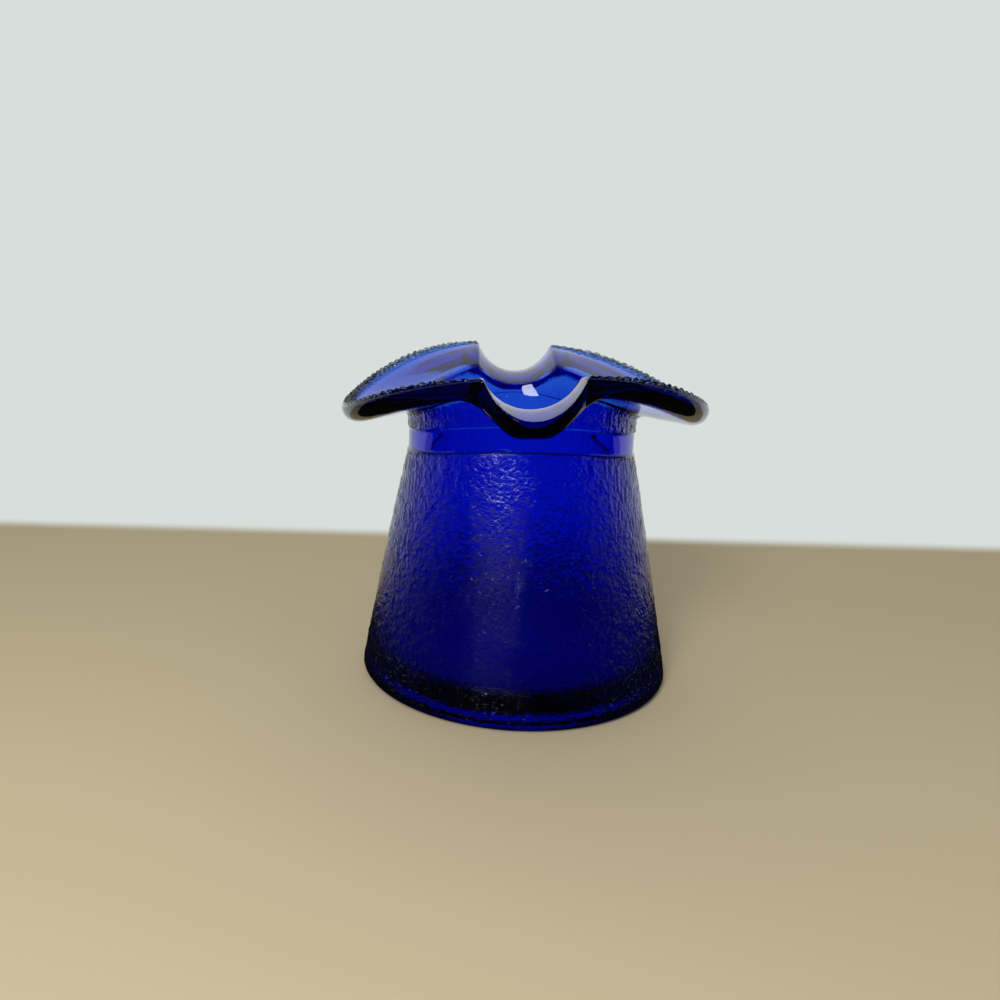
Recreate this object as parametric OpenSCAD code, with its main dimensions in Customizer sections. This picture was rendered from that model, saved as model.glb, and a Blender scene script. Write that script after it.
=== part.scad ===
// Pressed glass top hat that stands on its crown, with two U-shaped rests pressed into a bent brim.
// Millimetres, +Z up. The origin lies in the standing plane, on the axis of the crown.
// The rests face front (-Y) and rear (+Y), and the drooping brim tips point left and right.
// The hat is one casting: its named zones meet face to face, on shared points.

/* [Crown] */
// Outside diameter of the crown's taper where it reaches the standing plane
crown_base_d = 63.6; // [56:0.2:76]
// Height of the crown up to the lower edge of the band
crown_h = 48.3; // [42:0.1:58]
// Radius of the rounded edge at the foot
foot_round = 1.6; // [0.8:0.1:3]
// Width of the flat ring that the hat stands on
foot_ring_w = 5; // [3:0.1:8]
// Depth of the shallow hollow inside the standing ring
foot_hollow = 0.6; // [0.2:0.1:1.5]
// Thickness of the glass under the cavity
floor_t = 4.5; // [3:0.1:14]

/* [Neck and band] */
// Thickness of the neck's wall, from the cavity to the glass over and under the band
neck_wall = 4; // [2.5:0.05:5]
// Height of the smooth band
band_w = 4.7; // [3:0.1:7]
// How far the band lies below the rough glass over and under it
band_recess = 0.25; // [0.1:0.05:0.5]
// Height from the upper edge of the band to the level of the mouth
neck_h = 6.6; // [5.8:0.1:10]
// Radius of the fillet between the neck and the brim
neck_fillet = 1.4; // [0.8:0.1:3]

/* [Cavity] */
// Diameter of the cavity behind the band
throat_d = 37.2; // [32:0.1:44]
// How far the cavity opens on each side from the band to the mouth
mouth_flare = 1.1; // [0.2:0.05:1.5]
// Thickness of the crown's wall at the foot
foot_wall = 4.4; // [3:0.1:9]
// Radius of the rounded corner round the cavity's floor
cavity_round = 3; // [1:0.1:8]

/* [Brim] */
// Width of the brim from left to right
brim_across = 71.6; // [66:0.2:90]
// Length of the brim from front to rear, without the lips of the rests
brim_along = 72.4; // [66:0.2:90]
// Thickness of the brim where it leaves the neck
brim_root_t = 2.5; // [2:0.1:4.4]
// Thickness of the brim at its edge
brim_t = 3.6; // [2.5:0.1:5]
// Rise of the brim from the mouth to its edge, before the bend
brim_rise = 1.05; // [0:0.05:3]
// How early the brim climbs at front and rear: 1 is an even slope, more is steep near the mouth
brim_sweep = 2.8; // [1:0.1:4]
// How far in the rounding of the brim's lower edge reaches
edge_round = 3.6; // [2:0.1:5]

/* [Saddle bend] */
// Rise of the brim's edge at front and rear, and its fall at the sides
saddle_rim = 4.9; // [3:0.1:7]
// The same rise and fall at the mouth
saddle_mouth = 2.7; // [1.5:0.1:4]
// The same rise and fall at the band
saddle_band = 1.8; // [0.5:0.1:2.5]
// Rise of the brim's edge half way between the rests and the tips
saddle_fill = 0.4; // [0:0.1:1]
// Height on the crown where the bend begins
saddle_from = 28; // [15:1:36]
// Turn of the bend about the axis at the brim's edge, against the line of the rests
saddle_turn = 4; // [-8:1:8]

/* [Rests] */
// Width of a rest between its two edges
rest_w = 16.6; // [12:0.2:20]
// Depth of a rest below the brim's edge
rest_depth = 6.5; // [5:0.1:7.5]
// Depth of a rest below the edge of the mouth
rest_depth_in = 4.1; // [3:0.1:5]
// Angle that the curve of a rest turns through from its floor to its edge
rest_arc = 66; // [50:1:85]
// How far the lip of a rest stands out past the brim's edge
rest_lip = 1.5; // [0:0.1:3]
// Thickness of the glass under a rest, at its lip
rest_t = 4.1; // [2.5:0.1:5]
// Height of the swelling under a rest above the band, where it meets the neck
rest_seat = 0.6; // [0.2:0.1:1]
// Half width of the swelling under a rest
rest_flank = 12.4; // [9:0.1:16]
// Half width of the flat bottom of the swelling
rest_flat = 2; // [0.5:0.1:5]

/* [Binding] */
// Width of the raised strip along the brim's edge
binding_w = 1.6; // [0.8:0.1:3]
// Height of the strip above the brim, half way along it
binding_h = 1; // [0.2:0.05:1.5]
// Height of the strip at its two ends, by the rests
binding_end_h = 0.5; // [0.2:0.05:1.2]

/* [Hidden] */
$fn = 96;

deep_glass = [0.02, 0.04, 0.42];
clear_glass = [0.05, 0.14, 0.66];
brim_glass = [0.24, 0.28, 0.74];
dark_glass = [0.06, 0.07, 0.24];

lobe_cols = 36;
rest_cols = 12;
half_cols = lobe_cols + rest_cols;
mid_rest = lobe_cols + rest_cols / 2;
lobe_crowding = 0.5;
edge_steps = 5;
fillet_steps = 3;
corner_steps = 4;
fillet_reach = 0.8;
taper_cols = 7;

crown_base_r = crown_base_d / 2;
throat_r = throat_d / 2;
neck_r = throat_r + neck_wall;
mouth_r = throat_r + mouth_flare;
rest_half = rest_w / 2;
band_top = crown_h + band_w;
mouth_z = band_top + neck_h;
brim_run = brim_across / 2 - mouth_r;

// Shares of the way from the mouth to the brim's edge
root_share = (neck_r + neck_fillet - mouth_r) / brim_run;
edge_share = 1 - edge_round / brim_run;
strip_share = 1 - binding_w / brim_run;

function mix(a, b, t) = a + (b - a) * t;
function ease(t) = let (c = min(max(t, 0), 1)) c * c * (3 - 2 * c);
function crown_r(z) = mix(crown_base_r, neck_r, z / crown_h);
function cavity_r(z) = z < crown_h ? crown_r(z) - mix(foot_wall, neck_wall, z / crown_h) : throat_r;

// The bend: 1 at front and rear, -1 at the sides, and how far it moves a height on the wall
function saddle(p, turn = 0) = -cos(2 * (atan2(p[1], p[0]) - turn));
function fill(p) = -cos(4 * atan2(p[1], p[0]));
function wall_bend(z) = saddle_band * ease((z - saddle_from) / (crown_h - saddle_from));

// Columns run round half the hat, from the front rest along the right lobe and through the rear rest
function in_lobe(i) = i <= lobe_cols;
function lobe_share(i) = let (t = i / lobe_cols) t - lobe_crowding * sin(360 * t) / (2 * PI);
function rest_turn(i) = rest_arc * (1 - 2 * (i - lobe_cols) / rest_cols);

// Plan position of a column on an oval with half axes ra and rb
function lobe_plan(i, ra, rb) =
    let (end = acos(rest_half / ra))
    let (a = end * (2 * lobe_share(i) - 1))
    [ra * cos(a), rb * sin(a)];
function rest_plan(i, ra, rb, lip) =
    let (x = rest_half * sin(rest_turn(i)) / sin(rest_arc))
    [x, rb * sqrt(1 - pow(x / ra, 2)) + lip * (1 - pow(x / rest_half, 2))];
function plan(i, ra, rb, lip = 0) = in_lobe(i) ? lobe_plan(i, ra, rb) : rest_plan(i, ra, rb, lip);
function brim_plan(i, v) =
    plan(i, mix(mouth_r, brim_across / 2, v), mix(mouth_r, brim_along / 2, v), rest_lip * v);

// Heights of the brim at a share v of the way out: the bent sheet, its upper and its lower face
function bent_z(p, v) =
    let (bend = saddle(p, saddle_turn * v))
    let (climb = brim_rise + (saddle_rim - saddle_mouth) * bend)
    let (climbed = mix(v, 1 - pow(1 - v, brim_sweep), (1 + bend) / 2))
    mouth_z + saddle_mouth * bend + climb * climbed + saddle_fill * v * fill(p);
function sheet_z(i, v) = in_lobe(i)
    ? bent_z(brim_plan(i, v), v)
    : let (right = bent_z(brim_plan(lobe_cols, v), v))
      let (left = bent_z(brim_plan(half_cols, v), v))
      mix(right, left, (i - lobe_cols) / rest_cols);
function rest_drop(v) = mix(rest_depth_in, rest_depth, v);
function rest_dip(i, v) = in_lobe(i)
    ? 0
    : rest_drop(v) * (cos(rest_turn(i)) - cos(rest_arc)) / (1 - cos(rest_arc));
function top_z(i, v) = sheet_z(i, v) - rest_dip(i, v);

function past_root(v) = (v - root_share) / (1 - root_share);
function sheet_t(v) = mix(brim_root_t, brim_t, past_root(v));
function swelling(x) = ease((rest_flank - abs(x)) / (rest_flank - rest_flat));
root_swelling = sheet_z(mid_rest, root_share) - sheet_t(root_share)
    - (band_top + saddle_band + rest_seat);
lip_swelling = rest_depth + rest_t - brim_t;
function under_z(i, v) =
    sheet_z(i, v) - sheet_t(v)
    - mix(root_swelling, lip_swelling, past_root(v)) * swelling(brim_plan(i, v)[0]);

// Points of the casting at a column
function top_point(i, v) = [each brim_plan(i, v), top_z(i, v)];
function under_point(i, v) = [each brim_plan(i, v), under_z(i, v)];
function edge_point(i, step) =
    let (b = 90 * step / edge_steps)
    let (v = mix(1, edge_share, 1 - cos(b)))
    [each brim_plan(i, v), mix(top_z(i, v), under_z(i, v), sin(b))];
function wall_point(i, r, z) =
    let (p = plan(i, r, r))
    [each p, z + wall_bend(z) * saddle(p)];
function fillet_point(i, step) =
    let (g = 90 * step / fillet_steps)
    let (start = under_point(i, root_share))
    let (seat = wall_point(i, neck_r, band_top))
    let (drop = min(neck_fillet, (start[2] - seat[2]) * fillet_reach))
    let (r = mix(neck_r + neck_fillet, neck_r, sin(g)))
    [each plan(i, r, r), start[2] - drop * (1 - cos(g))];
function corner_point(i, step) =
    let (c = 90 * step / corner_steps)
    let (r = cavity_r(floor_t + cavity_round) - cavity_round * (1 - sin(c)))
    wall_point(i, r, floor_t + cavity_round * (1 - cos(c)));

// Sections of the casting at a column, each a closed loop that runs up the inside and down the outside
function crown_section(i) = [
    for (step = [0:corner_steps]) corner_point(i, step),
    wall_point(i, cavity_r(saddle_from), saddle_from),
    for (t = [1/3, 2/3, 1]) let (z = mix(saddle_from, crown_h, t)) wall_point(i, cavity_r(z), z),
    for (t = [1, 3/4, 1/2, 1/4, 0]) let (z = mix(saddle_from, crown_h, t)) wall_point(i, crown_r(z), z),
    wall_point(i, crown_r(floor_t), floor_t)
];
function band_section(i) = [
    wall_point(i, cavity_r(crown_h), crown_h),
    wall_point(i, cavity_r(band_top), band_top),
    wall_point(i, neck_r - band_recess, band_top),
    wall_point(i, neck_r - band_recess, crown_h)
];
function flare_section(i) = [
    wall_point(i, cavity_r(band_top), band_top),
    for (t = [0, 1/2, 1]) top_point(i, root_share * t),
    under_point(i, root_share),
    for (step = [1:fillet_steps]) fillet_point(i, step),
    wall_point(i, neck_r, band_top)
];
function brim_section(i) = [
    for (t = [0, 1/3, 2/3, 1]) top_point(i, mix(root_share, strip_share, t)),
    for (step = [0:edge_steps]) edge_point(i, step),
    for (t = [1/2, 1]) under_point(i, mix(edge_share, root_share, t))
];
function strip_h(i) = mix(binding_end_h, binding_h, ease(min(i, lobe_cols - i) / taper_cols));
function binding_section(i) =
    let (inner = top_point(i, strip_share))
    let (outer = top_point(i, 1))
    let (h = strip_h(i))
    [
        inner,
        mix(inner, outer, 0.15) + [0, 0, h * 0.7],
        mix(inner, outer, 0.5) + [0, 0, h],
        mix(inner, outer, 0.9) + [0, 0, h * 0.9],
        outer + [0, 0, h * 0.5],
        outer
    ];

function turned(section) = [for (p = section) [-p[0], -p[1], p[2]]];

// Faces between section s and the next one, of k points each
function band_faces(s, next, k) = [
    for (j = [0:k - 1])
        let (m = (j + 1) % k)
        each [[s * k + j, next * k + j, next * k + m], [s * k + j, next * k + m, s * k + m]]
];

// Solid swept right round the axis, from the sections of half the hat
module ring_solid(half) {
    sections = concat(half, [for (s = half) turned(s)]);
    n = len(sections);
    k = len(sections[0]);
    polyhedron([for (s = sections) each s], [for (s = [0:n - 1]) each band_faces(s, (s + 1) % n, k)]);
}

// Solid swept from its first section to its last, closed by both
module bar_solid(sections) {
    n = len(sections);
    k = len(sections[0]);
    sides = [for (s = [0:n - 2]) each band_faces(s, s + 1, k)];
    first = [for (j = [0:k - 1]) j];
    last = [for (j = [k - 1:-1:0]) (n - 1) * k + j];
    polyhedron([for (s = sections) each s], concat([first], sides, [last]));
}

module crown_disc() {
    foot_r = crown_r(foot_round) - foot_round;
    color(deep_glass)
        rotate_extrude()
            difference() {
                union() {
                    polygon([
                        [0, 0],
                        [foot_r, 0],
                        [foot_r + foot_round, foot_round],
                        [crown_r(floor_t), floor_t],
                        [0, floor_t]
                    ]);
                    intersection() {
                        translate([foot_r, foot_round])
                            circle(foot_round);
                        square([crown_base_r, foot_round]);
                    }
                }
                polygon([
                    [0, -foot_hollow],
                    [foot_r - foot_ring_w + foot_hollow, -foot_hollow],
                    [foot_r - foot_ring_w - foot_hollow, foot_hollow],
                    [0, foot_hollow]
                ]);
            }
}

module crown_wall() {
    color(deep_glass)
        ring_solid([for (i = [0:half_cols - 1]) crown_section(i)]);
}

module hat_band() {
    color(clear_glass)
        ring_solid([for (i = [0:half_cols - 1]) band_section(i)]);
}

module neck_flare() {
    color(clear_glass)
        ring_solid([for (i = [0:half_cols - 1]) flare_section(i)]);
}

module right_brim() {
    color(brim_glass)
        bar_solid([for (i = [0:lobe_cols]) brim_section(i)]);
}

module left_brim() {
    rotate(180)
        right_brim();
}

module rear_rest() {
    color(clear_glass)
        bar_solid([for (i = [lobe_cols:half_cols]) brim_section(i)]);
}

module front_rest() {
    rotate(180)
        rear_rest();
}

module right_binding() {
    color(dark_glass)
        bar_solid([for (i = [0:lobe_cols]) binding_section(i)]);
}

module left_binding() {
    rotate(180)
        right_binding();
}

crown_disc();
crown_wall();
hat_band();
neck_flare();
right_brim();
left_brim();
rear_rest();
front_rest();
right_binding();
left_binding();
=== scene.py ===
import math

import bpy
import numpy as np
from mathutils import Matrix


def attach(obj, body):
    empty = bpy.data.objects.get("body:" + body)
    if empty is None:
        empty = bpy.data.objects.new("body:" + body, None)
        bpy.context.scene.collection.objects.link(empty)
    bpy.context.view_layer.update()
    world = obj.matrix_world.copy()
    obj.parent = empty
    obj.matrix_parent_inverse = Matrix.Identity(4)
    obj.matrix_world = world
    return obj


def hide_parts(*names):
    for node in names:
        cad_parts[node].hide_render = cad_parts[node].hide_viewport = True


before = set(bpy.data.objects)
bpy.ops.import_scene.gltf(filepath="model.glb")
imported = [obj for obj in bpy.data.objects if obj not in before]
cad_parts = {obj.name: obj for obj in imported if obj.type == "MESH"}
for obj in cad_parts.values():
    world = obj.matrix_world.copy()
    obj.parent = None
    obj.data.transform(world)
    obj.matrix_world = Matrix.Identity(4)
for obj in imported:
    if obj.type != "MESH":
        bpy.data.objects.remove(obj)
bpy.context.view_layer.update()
mm = 0.001

# All sizes of the hat are millimetres. Its mesh is spun as a plain hat and then bent, as the glass was.
hat = {
    "crownBase": 31.8, "crownHeight": 48.3, "footRound": 1.6, "footRing": 5.0, "footHollow": 0.6,
    "smoothFoot": 0.8, "feltStart": 0.6, "floorThick": 4.5, "flatKeep": 0.3,
    "throat": 18.6, "neckWall": 4.0, "bandWidth": 4.7, "bandRecess": 0.25, "neckHeight": 6.6,
    "neckFillet": 1.4, "mouthFlare": 1.1, "footWall": 4.4, "cavityRound": 3.0,
    "brimAcross": 35.8, "brimAlong": 36.2, "rootThick": 2.5, "rimThick": 3.6, "brimRise": 1.05,
    "brimSweep": 2.8, "edgeRound": 3.6, "cornerRound": 0.25,
    "saddleRim": 4.9, "saddleMouth": 2.7, "saddleBand": 1.8, "saddleFill": 0.4, "saddleFrom": 28.0,
    "saddleTurn": 4.0,
    "restHalf": 8.3, "restDepth": 6.5, "restDepthIn": 4.1, "restArc": 66.0, "restLip": 1.5,
    "restThick": 4.1, "restSeat": 0.6, "restFlank": 12.4, "restFlat": 2.0, "creaseRound": 0.45,
    "bindingWidth": 1.6, "bindingHeight": 1.2, "bindingEnd": 0.5, "bindingTaper": 12.0, "bindingStart": 0.8,
    "bindingNotch": (0.45, 0.85), "innerStrand": 0.7, "outerFall": 0.5,
    "strandWidth": (3, 6), "strandSize": (0.6, 1.0), "strandLean": 2, "strandSeed": 7,
    "lobeColumns": 232, "restColumns": 40, "columnCrowding": 0.8, "crowdingReach": 4.0,
    "crownRowStep": 0.6, "mergeReach": 0.002,
}
neckRadius = hat["throat"] + hat["neckWall"]
mouthRadius = hat["throat"] + hat["mouthFlare"]
bandTop = hat["crownHeight"] + hat["bandWidth"]
mouthHeight = bandTop + hat["neckHeight"]
brimRun = hat["brimAcross"] - mouthRadius
rootShare = (neckRadius + hat["neckFillet"] - mouthRadius) / brimRun
edgeShare = 1 - hat["edgeRound"] / brimRun
halfColumns = hat["lobeColumns"] + hat["restColumns"]
columnCount = 2 * halfColumns


def mix(a, b, t):
    return a + (b - a) * t


def ease(t):
    t = np.clip(t, 0, 1)
    return t * t * (3 - 2 * t)


def sinDeg(a):
    return np.sin(np.radians(a))


def cosDeg(a):
    return np.cos(np.radians(a))


def crownRadius(z):
    return mix(hat["crownBase"], neckRadius, z / hat["crownHeight"])


def cavityRadius(z):
    wall = mix(hat["footWall"], hat["neckWall"], z / hat["crownHeight"])
    return crownRadius(z) - wall if z < hat["crownHeight"] else hat["throat"]


# Columns of half the hat: first the right lobe from front to rear, then the rear rest from right to left
def crowded(count):
    k = np.arange(count)
    steps = 1 - hat["columnCrowding"] * np.exp(-np.minimum(k, count - 1 - k) / hat["crowdingReach"])
    return np.concatenate([[0], np.cumsum(steps)]) / steps.sum()


lobeShare = crowded(hat["lobeColumns"])
restShare = crowded(hat["restColumns"])[1:-1]
restTurn = hat["restArc"] * (1 - 2 * restShare)
evenAngle = 180 * (np.arange(halfColumns) - hat["lobeColumns"] / 2) / halfColumns


def plan(across, along, lip=0.0):
    end = np.degrees(np.arccos(hat["restHalf"] / across))
    a = end * (2 * lobeShare - 1)
    x = hat["restHalf"] * sinDeg(restTurn) / sinDeg(hat["restArc"])
    y = along * np.sqrt(1 - (x / across) ** 2) + lip * (1 - (x / hat["restHalf"]) ** 2)
    return np.concatenate([across * cosDeg(a), x]), np.concatenate([along * sinDeg(a), y])


def brimPlan(v):
    across = mix(mouthRadius, hat["brimAcross"], v)
    along = mix(mouthRadius, hat["brimAlong"], v)
    return plan(across, along, hat["restLip"] * v)


# The bend: 1 at front and rear, -1 at the sides
def saddle(x, y, turn=0.0):
    return -np.cos(2 * (np.arctan2(y, x) - np.radians(turn)))


def wallBend(z):
    return hat["saddleBand"] * ease((z - hat["saddleFrom"]) / (hat["crownHeight"] - hat["saddleFrom"]))


def flatSheet(v):
    return mouthHeight + hat["brimRise"] * v


def sheetHeight(v):
    x, y = brimPlan(v)
    bend = saddle(x, y, hat["saddleTurn"] * v)
    climb = hat["brimRise"] + (hat["saddleRim"] - hat["saddleMouth"]) * bend
    climbed = mix(v, 1 - (1 - v) ** hat["brimSweep"], (1 + bend) / 2)
    z = mouthHeight + hat["saddleMouth"] * bend + climb * climbed
    z = z - hat["saddleFill"] * v * np.cos(4 * np.arctan2(y, x))
    lobes = hat["lobeColumns"] + 1
    rightEdge, leftEdge = z[lobes - 1], z[0]  # the left edge is the front one turned half round
    z[lobes:] = mix(rightEdge, leftEdge, (1 - restTurn / hat["restArc"]) / 2)
    return z


def restDip(v):
    x, y = brimPlan(v)
    lobes = hat["lobeColumns"] + 1
    drop = mix(hat["restDepthIn"], hat["restDepth"], v)
    arcEnd = cosDeg(hat["restArc"])
    slope = drop * (1 + arcEnd) / (hat["restHalf"] * arcEnd)
    g = -slope * (np.abs(x) - hat["restHalf"])
    g[lobes:] = drop * (cosDeg(restTurn) - arcEnd) / (1 - arcEnd)
    return (g + np.sqrt(g ** 2 + hat["creaseRound"] ** 2)) / 2


def topHeight(v):
    return sheetHeight(v) - restDip(v)


def sheetThick(v):
    return mix(hat["rootThick"], hat["rimThick"], (v - rootShare) / (1 - rootShare))


def underHeight(v):
    x, y = brimPlan(v)
    past = (v - rootShare) / (1 - rootShare)
    swelling = ease((hat["restFlank"] - np.abs(x)) / (hat["restFlank"] - hat["restFlat"]))
    midRest = hat["lobeColumns"] + hat["restColumns"] // 2
    rootSwell = sheetHeight(rootShare)[midRest] - hat["rootThick"]
    rootSwell = rootSwell - (bandTop + hat["saddleBand"] + hat["restSeat"])
    lipSwell = hat["restDepth"] + hat["restThick"] - hat["rimThick"]
    return sheetHeight(v) - sheetThick(v) - mix(rootSwell, lipSwell, past) * swelling


# One ring of the bent hat for each kind of row, as x, y and z of half the hat
def wallRing(r, z):
    x, y = plan(r, r) if r > hat["restHalf"] else (r * cosDeg(evenAngle), r * sinDeg(evenAngle))
    along = ease((z - hat["saddleFrom"]) / (hat["crownHeight"] - hat["saddleFrom"]))
    off = np.degrees(np.arctan2(y, x)) - evenAngle
    angle = evenAngle + along * ((off + 180) % 360 - 180)
    x, y = r * cosDeg(angle), r * sinDeg(angle)
    return x, y, z + wallBend(z) * saddle(x, y)


def neckRing(r, share):
    x, y = plan(r, r)
    seat = bandTop + wallBend(bandTop) * saddle(x, y)
    return x, y, mix(seat, underHeight(rootShare), share)


def throatRing(r, share):
    x, y = plan(r, r)
    seat = bandTop + wallBend(bandTop) * saddle(x, y)
    return x, y, mix(topHeight(0.0), seat, share)


def brimRing(v, depth, drop=0.0, strip=0.0):
    x, y = brimPlan(v)
    z = mix(topHeight(v), underHeight(v), depth) - drop
    return x, y, z + strip * bindingLift(v)


# Two rows of uneven strands lie side by side along the edge
def strandBulge(rng):
    bulge = []
    while len(bulge) < halfColumns:
        width = rng.integers(*hat["strandWidth"])
        bulge.extend(rng.uniform(*hat["strandSize"]) * np.sin(np.pi * np.arange(width) / width))
    return np.array(bulge[:halfColumns])


strandRows = [strandBulge(np.random.default_rng(hat["strandSeed"] + side)) for side in (0, 1)]


def bindingLift(v):
    x, y = brimPlan(1.0)
    lobes = hat["lobeColumns"] + 1
    length = np.concatenate([[0], np.cumsum(np.hypot(np.diff(x), np.diff(y)))])
    inward = (1 - v) * brimRun
    side = 0 if inward < hat["bindingWidth"] / 2 else 1
    across = inward / (hat["bindingWidth"] / 2) - side
    bulge = np.roll(strandRows[side], round(hat["strandLean"] * across))
    inner = hat["innerStrand"] * math.sqrt(max(0.0, 1 - (2 * across - 1) ** 2))
    hump = inner if side else 1 - hat["outerFall"] * across ** 2
    lift = hat["bindingHeight"] * hump * (1 - hat["bindingNotch"][side] * (1 - bulge))
    fromEnd = np.minimum(length, length[lobes - 1] - length)
    taper = mix(hat["bindingEnd"], 1, ease(fromEnd / hat["bindingTaper"]))
    lift = lift * taper * ease(fromEnd / hat["bindingStart"])
    lift[lobes:] = 0
    return lift


# Where the section's rows lie: shares of a stretch, degrees of a round, or how many there are
rowPlan = {
    "footTurns": (22, 45, 68),
    "bandFrom": ((0, 0, 0.7), (0.12, 0.6, 0.2), (0.25, 1, 0)),  # height, share of the recess, roughness
    "bandShares": (0.15, 0.3, 0.5, 0.7, 0.85),
    "bandTo": ((-0.25, 1, 0), (-0.12, 0.6, 0.2)),
    "neckShares": (0, 0.25, 0.5, 0.75),
    "filletTurns": (0, 15, 30, 45, 60, 75, 90),
    "underShares": (0.2, 0.4, 0.6, 0.8),
    "edgeShares": (0, 0.12, 0.25, 0.4, 0.55, 0.7, 0.85, 1),
    "cornerTurns": (0, 30, 60, 90),
    "stripRise": ((0.28, 0.35), (0.33, 0.7), (0.42, 0.95)),  # way in from the edge, share of the height
    "stripShares": (0.34, 0.42, 0.49, 0.5, 0.56, 0.65, 0.75, 0.85, 0.93, 0.98, 1),
    "upperCount": 11,
    "lipTurns": (25, 50, 75),
    "throatShares": (0.08, 0.16, 0.26, 0.38, 0.52, 0.68, 0.84, 1),
    "bandCount": 3,
    "cavityCount": 8,
    "cavityTurns": (72, 54, 36, 18, 0),
}


# Rows of the section, from the middle of the base, up the outside and down into the cavity
def sectionRows():
    rows = []

    def wall(r, z, felt=0.0):
        rows.append({"r": r, "z": z, "felt": felt, "ring": lambda: wallRing(r, z)})

    def neck(r, share, felt=0.0):
        z = mix(bandTop, flatSheet(rootShare) - hat["rootThick"], share)
        rows.append({"r": r, "z": z, "felt": felt, "ring": lambda: neckRing(r, share)})

    def brim(v, depth, drop=0.0, strip=0.0):
        r = mix(mouthRadius, hat["brimAcross"], v)
        z = flatSheet(v) - depth * sheetThick(v) - drop
        row = {"r": r, "z": z, "felt": 0.0, "strip": strip}
        row["ring"] = lambda: brimRing(v, depth, drop, strip)
        rows.append(row)

    def throat(r, share):
        z = mix(mouthHeight, bandTop, share)
        rows.append({"r": r, "z": z, "felt": 0.0, "ring": lambda: throatRing(r, share)})

    # hollow base, standing ring and rounded foot, with rows that keep the flats flat beside their corners
    foot = crownRadius(hat["footRound"]) - hat["footRound"]
    inner = foot - hat["footRing"]
    hollow = inner - hat["footHollow"]
    for r in (0, hollow / 2, hollow - hat["flatKeep"], hollow):
        wall(r, hat["footHollow"])
    for r in (inner, inner + hat["flatKeep"], foot - hat["flatKeep"], foot):
        wall(r, 0)
    for a in rowPlan["footTurns"]:
        wall(foot + hat["footRound"] * sinDeg(a), hat["footRound"] * (1 - cosDeg(a)))

    # crown, which is rough above the smooth foot
    count = round((hat["crownHeight"] - hat["footRound"]) / hat["crownRowStep"])
    for k in range(count):
        z = mix(hat["footRound"], hat["crownHeight"], k / count)
        wall(crownRadius(z), z, float(ease((z - hat["smoothFoot"]) / hat["feltStart"])))

    # smooth band, a little below the rough glass
    step = hat["bandRecess"]
    for z, share, felt in rowPlan["bandFrom"]:
        wall(neckRadius - step * share, hat["crownHeight"] + z, felt)
    for t in rowPlan["bandShares"]:
        wall(neckRadius - step, mix(hat["crownHeight"], bandTop, t))
    for z, share, felt in rowPlan["bandTo"]:
        wall(neckRadius - step * share, bandTop + z, felt)

    # neck and its fillet to the brim
    gap = flatSheet(rootShare) - hat["rootThick"] - bandTop
    start = 1 - hat["neckFillet"] / gap
    for t in rowPlan["neckShares"]:
        neck(neckRadius, start * t, 1.0)
    for a in rowPlan["filletTurns"]:
        neck(neckRadius + hat["neckFillet"] * (1 - cosDeg(a)), mix(start, 1, sinDeg(a)), 1 - a / 90)

    # brim: underside, rounded edge, raised strip and upper face
    for t in rowPlan["underShares"]:
        brim(mix(rootShare, edgeShare, t), 1)
    firstTurn = math.degrees(math.asin(2 * hat["cornerRound"] / hat["rimThick"]))
    for t in rowPlan["edgeShares"]:
        b = mix(90, firstTurn, t)
        brim(mix(1, edgeShare, 1 - cosDeg(b)), sinDeg(b))
    corner = hat["cornerRound"]
    for a in rowPlan["cornerTurns"]:
        brim(1 - corner * (1 - cosDeg(a)) / brimRun, 0, corner * (1 - sinDeg(a)))
    for inward, share in rowPlan["stripRise"]:
        brim(1 - inward / brimRun, 0, 0, share)
    for across in rowPlan["stripShares"]:
        brim(1 - across * hat["bindingWidth"] / brimRun, 0, 0, 1.0)
    stripShare = 1 - hat["bindingWidth"] / brimRun
    mouthLip = corner / brimRun
    count = rowPlan["upperCount"]
    for k in range(1, count + 1):
        brim(mix(stripShare, mouthLip, k / count), 0)

    # mouth, throat and cavity
    gap = mouthHeight - bandTop
    for a in rowPlan["lipTurns"]:
        throat(mouthRadius + corner * (1 - sinDeg(a)), corner * (1 - cosDeg(a)) / gap)
    for t in rowPlan["throatShares"]:
        throat(mix(hat["throat"], mouthRadius, 1 - t), t)
    cornerTop = hat["floorThick"] + hat["cavityRound"]
    count = rowPlan["bandCount"]
    for k in range(1, count + 1):
        wall(hat["throat"], mix(bandTop, hat["crownHeight"], k / count))
    count = rowPlan["cavityCount"]
    for k in range(1, count + 1):
        z = mix(hat["crownHeight"], cornerTop, k / count)
        wall(cavityRadius(z), z)
    for a in rowPlan["cavityTurns"]:
        r = cavityRadius(cornerTop) - hat["cavityRound"] * (1 - sinDeg(a))
        wall(r, hat["floorThick"] + hat["cavityRound"] * (1 - cosDeg(a)))
    flat = rows[-1]["r"]
    for r in (flat - hat["flatKeep"], flat / 2, 0):
        wall(r, hat["floorThick"])
    return rows


feltRelief = {
    "wrinkle": 1.2, "depth": 0.32, "grain": 2.6, "grainDepth": 0.12, "noiseDepth": 1,
    "strip": 4.0,  # how much rougher the binding's fine wrinkles are than the crown's
}


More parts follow.
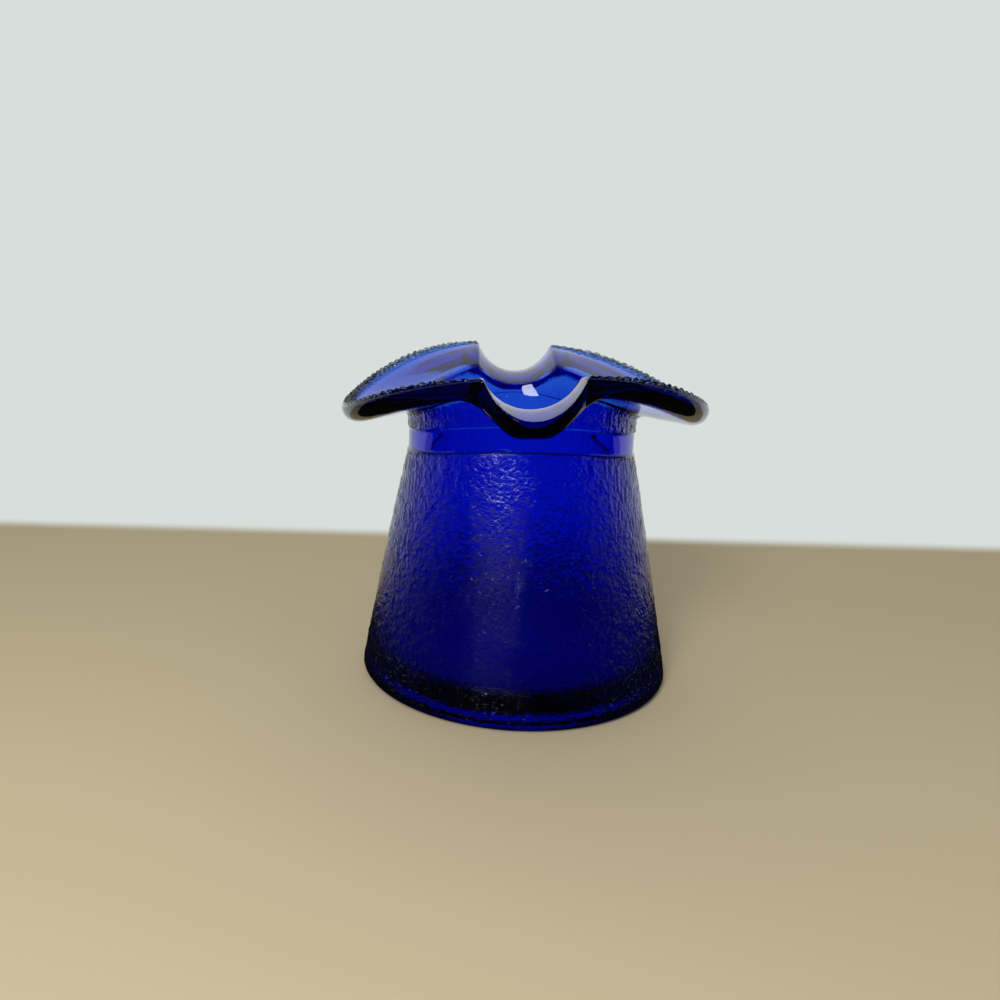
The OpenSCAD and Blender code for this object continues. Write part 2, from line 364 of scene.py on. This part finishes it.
def makeHatGlass():
    rows = sectionRows()
    bpy.ops.object.select_all(action="DESELECT")

    # the section is drawn point by point and spun into a plain, round hat
    bpy.ops.mesh.primitive_plane_add(size=mm)
    glass = bpy.context.object
    glass.name = glass.data.name = "hatGlass"
    bpy.ops.object.mode_set(mode="EDIT")
    bpy.ops.mesh.select_all(action="SELECT")
    bpy.ops.mesh.merge(type="CENTER")
    bpy.ops.transform.translate(value=(0, 0, rows[0]["z"] * mm))
    for last, row in zip(rows, rows[1:]):
        stepTo = ((row["r"] - last["r"]) * mm, 0, (row["z"] - last["z"]) * mm)
        bpy.ops.mesh.extrude_vertices_move(TRANSFORM_OT_translate={"value": stepTo})
    bpy.ops.object.mode_set(mode="OBJECT")
    # the points aren't numbered as they were drawn, so each takes the row that it lies on
    rowOf = glass.data.attributes.new("row", "INT", "POINT")
    for point, mark in zip(glass.data.vertices, rowOf.data):
        far = [math.hypot(point.co.x / mm - row["r"], point.co.z / mm - row["z"]) for row in rows]
        mark.value = far.index(min(far))
    bpy.ops.object.mode_set(mode="EDIT")
    bpy.ops.mesh.select_all(action="SELECT")
    bpy.ops.mesh.spin(steps=columnCount, angle=2 * math.pi, center=(0, 0, 0), axis=(0, 0, 1))
    bpy.ops.mesh.select_all(action="SELECT")
    bpy.ops.mesh.remove_doubles(threshold=hat["mergeReach"] * mm)
    bpy.ops.mesh.normals_make_consistent(inside=False)
    bpy.ops.object.mode_set(mode="OBJECT")
    print("hatGlass spun:", len(rows), "rows,", len(glass.data.polygons), "faces")

    # each ring of the plain hat goes to its bent place
    place = np.zeros(3 * len(glass.data.vertices))
    glass.data.vertices.foreach_get("co", place)
    place = place.reshape(-1, 3)
    row = np.zeros(len(place), np.int32)
    glass.data.attributes["row"].data.foreach_get("value", row)
    turn = np.degrees(np.arctan2(place[:, 1], place[:, 0]))
    column = np.round(turn * columnCount / 360 + hat["lobeColumns"] / 2).astype(int) % columnCount
    rings = []
    for r in rows:
        x, y, z = r["ring"]()
        rings.append(np.stack([np.append(x, -x), np.append(y, -y), np.append(z, z)], 1))
    bent = np.array(rings)[row, column]
    glass.data.vertices.foreach_set("co", (bent * mm).ravel())
    felt = np.array([r["felt"] for r in rows])[row]
    onLobe = column % halfColumns < hat["lobeColumns"]
    strip = np.array([r.get("strip", 0.0) for r in rows])[row] * onLobe
    for name, level in (("felt", felt + feltRelief["strip"] * strip), ("strip", strip)):
        mark = glass.data.attributes.new(name, "FLOAT", "POINT")
        mark.data.foreach_set("value", level)
    glass.data.attributes.remove(glass.data.attributes["row"])
    glass.data.update()
    print("hatGlass bent")
    return glass, felt


def roughenHat(glass, felt):
    group = glass.vertex_groups.new(name="feltZone")
    for level in np.unique(felt):
        if level > 0:
            group.add(np.flatnonzero(felt == level).tolist(), float(level), "REPLACE")
    bpy.ops.object.select_all(action="DESELECT")
    bpy.context.view_layer.objects.active = glass
    glass.select_set(True)
    for name, kind, size, depth in (
        ("feltWrinkle", "HARD_NOISE", feltRelief["wrinkle"], feltRelief["depth"]),
        ("feltGrain", "SOFT_NOISE", feltRelief["grain"], feltRelief["grainDepth"]),
    ):
        pattern = bpy.data.textures.new(name, "CLOUDS")
        pattern.noise_scale = size * mm
        pattern.noise_depth = feltRelief["noiseDepth"]
        pattern.noise_type = kind
        relief = glass.modifiers.new(name, "DISPLACE")
        relief.texture = pattern
        relief.texture_coords = "LOCAL"
        relief.vertex_group = "feltZone"
        relief.strength = depth * mm
        bpy.ops.object.modifier_apply(modifier=name)
    bpy.ops.object.shade_smooth()
    glass.vertex_groups.clear()
    print("hatGlass roughened")


cobalt = {
    "absorbed": (0.0, 0.417, 0.948), "density": 1150.0, "ior": 1.52,
    "smoothRough": 0.005, "feltRough": 0.03,
    "wave": 260.0, "waveDetail": 1, "waveDepth": 0.05,
    "fineFelt": 1300.0, "fineDetail": 2, "fineDepth": 0.28,
    # the fold tone and its reach are painted shade, darkening the binding's base colour
    "paintedFoldShade": (0.1, 0.11, 0.14), "foldShadeFrom": 0.3, "foldShadeFull": 0.6,
}


def makeCobaltGlass():
    material = bpy.data.materials.new("cobaltGlass")
    material.use_nodes = True
    nodes, links = material.node_tree.nodes, material.node_tree.links
    shader = nodes["Principled BSDF"]
    shader.inputs["Transmission Weight"].default_value = 1
    shader.inputs["IOR"].default_value = cobalt["ior"]

    depth = nodes.new("ShaderNodeVolumeAbsorption")
    depth.inputs["Color"].default_value = (*cobalt["absorbed"], 1)
    depth.inputs["Density"].default_value = cobalt["density"]
    links.new(depth.outputs["Volume"], nodes["Material Output"].inputs["Volume"])

    place = nodes.new("ShaderNodeTexCoord")
    feltMark = nodes.new("ShaderNodeAttribute")
    feltMark.attribute_name = "felt"

    # slow waves of the pressed glass, and fine wrinkles in the rough zones
    wave = nodes.new("ShaderNodeTexNoise")
    wave.inputs["Scale"].default_value = cobalt["wave"]
    wave.inputs["Detail"].default_value = cobalt["waveDetail"]
    links.new(place.outputs["Object"], wave.inputs["Vector"])
    fine = nodes.new("ShaderNodeTexNoise")
    fine.inputs["Scale"].default_value = cobalt["fineFelt"]
    fine.inputs["Detail"].default_value = cobalt["fineDetail"]
    links.new(place.outputs["Object"], fine.inputs["Vector"])
    fineFelt = nodes.new("ShaderNodeMath")
    fineFelt.operation = "MULTIPLY"
    links.new(fine.outputs["Fac"], fineFelt.inputs[0])
    links.new(feltMark.outputs["Fac"], fineFelt.inputs[1])

    waveBump = nodes.new("ShaderNodeBump")
    waveBump.inputs["Strength"].default_value = 1
    waveBump.inputs["Distance"].default_value = cobalt["waveDepth"] * mm
    links.new(wave.outputs["Fac"], waveBump.inputs["Height"])
    feltBump = nodes.new("ShaderNodeBump")
    feltBump.inputs["Strength"].default_value = 1
    feltBump.inputs["Distance"].default_value = cobalt["fineDepth"] * mm
    links.new(fineFelt.outputs["Value"], feltBump.inputs["Height"])
    links.new(waveBump.outputs["Normal"], feltBump.inputs["Normal"])
    links.new(feltBump.outputs["Normal"], shader.inputs["Normal"])

    # painted shade: the binding's base colour is darkened in noisy patches, standing in for the little
    # light its tight folds hold
    stripMark = nodes.new("ShaderNodeAttribute")
    stripMark.attribute_name = "strip"
    foldShadeRange = nodes.new("ShaderNodeMapRange")
    foldShadeRange.inputs["From Min"].default_value = cobalt["foldShadeFrom"]
    foldShadeRange.inputs["From Max"].default_value = cobalt["foldShadeFull"]
    links.new(fine.outputs["Fac"], foldShadeRange.inputs["Value"])
    foldShadeShare = nodes.new("ShaderNodeMath")
    foldShadeShare.operation = "MULTIPLY"
    links.new(foldShadeRange.outputs["Result"], foldShadeShare.inputs[0])
    links.new(stripMark.outputs["Fac"], foldShadeShare.inputs[1])
    tone = nodes.new("ShaderNodeMix")
    tone.data_type = "RGBA"
    tone.inputs["A"].default_value = (1, 1, 1, 1)
    tone.inputs["B"].default_value = (*cobalt["paintedFoldShade"], 1)
    links.new(foldShadeShare.outputs["Value"], tone.inputs["Factor"])
    links.new(tone.outputs["Result"], shader.inputs["Base Color"])

    rough = nodes.new("ShaderNodeMapRange")
    rough.inputs["To Min"].default_value = cobalt["smoothRough"]
    rough.inputs["To Max"].default_value = cobalt["feltRough"]
    links.new(fineFelt.outputs["Value"], rough.inputs["Value"])
    links.new(rough.outputs["Result"], shader.inputs["Roughness"])
    return material


glass, felt = makeHatGlass()
roughenHat(glass, felt)
glass.data.materials.append(makeCobaltGlass())
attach(glass, "root")
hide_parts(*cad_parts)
print("hatGlass dressed")


# Floor, surround and a card of painted shade for the reflections; their tones are shares of white and their
# reaches millimetres
studio = {
    "floorSize": 3.0, "floorGap": 0.03, "nearTone": (0.8, 0.67, 0.43), "nearReach": 90.0, "farReach": 102.0,
    "backTone": (0.69, 0.73, 0.71), "frontTone": (0.27, 0.27, 0.27),
    "backRise": 0.4, "backFrom": 0.76, "backFull": 0.9,
    # the card's tone is painted shade that only reflections see
    "cardShadeTone": (0.02, 0.02, 0.02), "cardWidth": 1.8, "cardNear": 45.0, "cardFar": -300.0, "cardTop": 700.0,
}


# The floor is pale paper in front; further back it fades into the pale background
def makeFloor():
    bpy.ops.object.select_all(action="DESELECT")
    # glass never quite touches paper, so the foot keeps a film of air under it
    bpy.ops.mesh.primitive_plane_add(size=studio["floorSize"], location=(0, 0, -studio["floorGap"] * mm))
    bpy.ops.object.transform_apply(location=True)
    floor = bpy.context.object
    floor.name = "paleFloor"
    material = bpy.data.materials.new("palePaper")
    material.use_nodes = True
    nodes, links = material.node_tree.nodes, material.node_tree.links
    shader = nodes["Principled BSDF"]
    shader.inputs["Roughness"].default_value = 1
    shader.inputs["Specular IOR Level"].default_value = 0
    shader.inputs["Base Color"].default_value = (*studio["nearTone"], 1)
    glow = nodes.new("ShaderNodeEmission")
    glow.inputs["Color"].default_value = (*studio["backTone"], 1)

    place = nodes.new("ShaderNodeTexCoord")
    reach = nodes.new("ShaderNodeSeparateXYZ")
    links.new(place.outputs["Object"], reach.inputs["Vector"])
    share = nodes.new("ShaderNodeMapRange")
    share.interpolation_type = "SMOOTHSTEP"
    share.inputs["From Min"].default_value = studio["nearReach"] * mm
    share.inputs["From Max"].default_value = studio["farReach"] * mm
    links.new(reach.outputs["Y"], share.inputs["Value"])

    # camera, reflections and the view through the glass see the background, which lights nothing
    path = nodes.new("ShaderNodeLightPath")
    seen = path.outputs["Is Camera Ray"]
    for ray in ("Is Glossy Ray", "Is Transmission Ray"):
        either = nodes.new("ShaderNodeMath")
        either.operation = "MAXIMUM"
        links.new(seen, either.inputs[0])
        links.new(path.outputs[ray], either.inputs[1])
        seen = either.outputs["Value"]
    part = nodes.new("ShaderNodeMath")
    part.operation = "MULTIPLY"
    links.new(share.outputs["Result"], part.inputs[0])
    links.new(seen, part.inputs[1])
    blend = nodes.new("ShaderNodeMixShader")
    links.new(part.outputs["Value"], blend.inputs["Fac"])
    links.new(shader.outputs["BSDF"], blend.inputs[1])
    links.new(glow.outputs["Emission"], blend.inputs[2])
    links.new(blend.outputs["Shader"], nodes["Material Output"].inputs["Surface"])
    floor.data.materials.append(material)


def makeSurround():
    world = bpy.data.worlds.new("softSurround")
    bpy.context.scene.world = world
    world.use_nodes = True
    nodes, links = world.node_tree.nodes, world.node_tree.links
    place = nodes.new("ShaderNodeTexCoord")
    split = nodes.new("ShaderNodeSeparateXYZ")
    links.new(place.outputs["Generated"], split.inputs["Vector"])
    raised = nodes.new("ShaderNodeMath")
    raised.operation = "MULTIPLY_ADD"
    raised.inputs[1].default_value = studio["backRise"]
    links.new(split.outputs["Z"], raised.inputs[0])
    links.new(split.outputs["Y"], raised.inputs[2])
    share = nodes.new("ShaderNodeMapRange")
    share.interpolation_type = "SMOOTHSTEP"
    share.inputs["From Min"].default_value = studio["backFrom"]
    share.inputs["From Max"].default_value = studio["backFull"]
    links.new(raised.outputs["Value"], share.inputs["Value"])
    tone = nodes.new("ShaderNodeMix")
    tone.data_type = "RGBA"
    tone.inputs["A"].default_value = (*studio["frontTone"], 1)
    tone.inputs["B"].default_value = (*studio["backTone"], 1)
    path = nodes.new("ShaderNodeLightPath")
    seen = nodes.new("ShaderNodeMath")
    seen.operation = "MAXIMUM"
    links.new(share.outputs["Result"], seen.inputs[0])
    links.new(path.outputs["Is Camera Ray"], seen.inputs[1])
    links.new(seen.outputs["Value"], tone.inputs["Factor"])
    links.new(tone.outputs["Result"], nodes["Background"].inputs["Color"])


# Each lamp's place, sides and power, in millimetres and watts
lamps = {
    "windowLamp": {"place": (-84.3, -260, 215), "width": 95, "height": 130, "power": 0.45},
    "sparkLamp": {"place": (-66, -263, 80), "width": 12, "height": 14, "power": 0.01},
    "paneLamp": {"place": (-84, -262, 28), "width": 36, "height": 24, "power": 0.006},
}
lampAim = 30.0


def makeLamp(name, lamp):
    bpy.ops.object.select_all(action="DESELECT")
    bpy.ops.object.light_add(type="AREA")
    light = bpy.context.object
    light.name = name
    light.data.shape = "RECTANGLE"
    light.data.size = lamp["width"] * mm
    light.data.size_y = lamp["height"] * mm
    light.data.energy = lamp["power"]
    light.location = [c * mm for c in lamp["place"]]
    aim = light.location.copy()
    aim.z -= lampAim * mm
    light.rotation_euler = aim.to_track_quat("Z", "Y").to_euler()
    light.visible_camera = False


# A sheet of painted shade in front, on the floor and up behind the camera, that only the reflections show:
# it paints the darker room and floor in front into the glass's reflections
def makePaintedShadeCard():
    bpy.ops.object.select_all(action="DESELECT")
    bpy.ops.mesh.primitive_plane_add(size=studio["cardWidth"])
    card = bpy.context.object
    card.name = "paintedShadeCard"
    for v in card.data.vertices:
        v.co.y = (studio["cardNear"] if v.co.y > 0 else studio["cardFar"]) * mm
        v.co.z = -studio["floorGap"] / 2 * mm
    bpy.ops.object.mode_set(mode="EDIT")
    bpy.ops.mesh.select_all(action="DESELECT")
    bpy.ops.object.mode_set(mode="OBJECT")
    for edge in card.data.edges:
        edge.select = all(card.data.vertices[v].co.y < 0 for v in edge.vertices)
    bpy.ops.object.mode_set(mode="EDIT")
    bpy.ops.mesh.select_mode(type="EDGE")
    bpy.ops.mesh.extrude_edges_move(TRANSFORM_OT_translate={"value": (0, 0, studio["cardTop"] * mm)})
    bpy.ops.object.mode_set(mode="OBJECT")
    material = bpy.data.materials.new("paintedShadePaper")
    material.use_nodes = True
    shader = material.node_tree.nodes["Principled BSDF"]
    shader.inputs["Base Color"].default_value = (*studio["cardShadeTone"], 1)
    shader.inputs["Roughness"].default_value = 1
    shader.inputs["Specular IOR Level"].default_value = 0
    card.data.materials.append(material)
    card.visible_camera = False
    card.visible_diffuse = False
    card.visible_transmission = False
    card.visible_shadow = False


makeFloor()
makeSurround()
for lampName, lamp in lamps.items():
    makeLamp(lampName, lamp)
makePaintedShadeCard()
print("studio set")

# The camera stands where the photograph was taken from; its frame is cut from the right of a wider one
view = {
    "place": (-11.58, -184.65, 82.29), "heading": -3.686, "pitch": 14.248, "roll": 0.484,
    "sensor": 36.0, "lens": 33.25, "shift": 0.097, "clipStart": 5.0,
}


def makeCamera():
    data = bpy.data.cameras.new("photoCamera")
    camera = bpy.data.objects.new("photoCamera", data)
    bpy.context.scene.collection.objects.link(camera)
    data.sensor_width = view["sensor"]
    data.lens = view["lens"]
    data.shift_x = view["shift"]
    data.clip_start = view["clipStart"] * mm
    heading = Matrix.Rotation(math.radians(-view["heading"]), 4, "Z")
    pitch = Matrix.Rotation(math.radians(90 - view["pitch"]), 4, "X")
    roll = Matrix.Rotation(math.radians(view["roll"]), 4, "Z")
    place = Matrix.Translation([c * mm for c in view["place"]])
    camera.matrix_world = place @ heading @ pitch @ roll
    bpy.context.scene.camera = camera


makeCamera()
bpy.context.scene.view_settings.view_transform = "Standard"
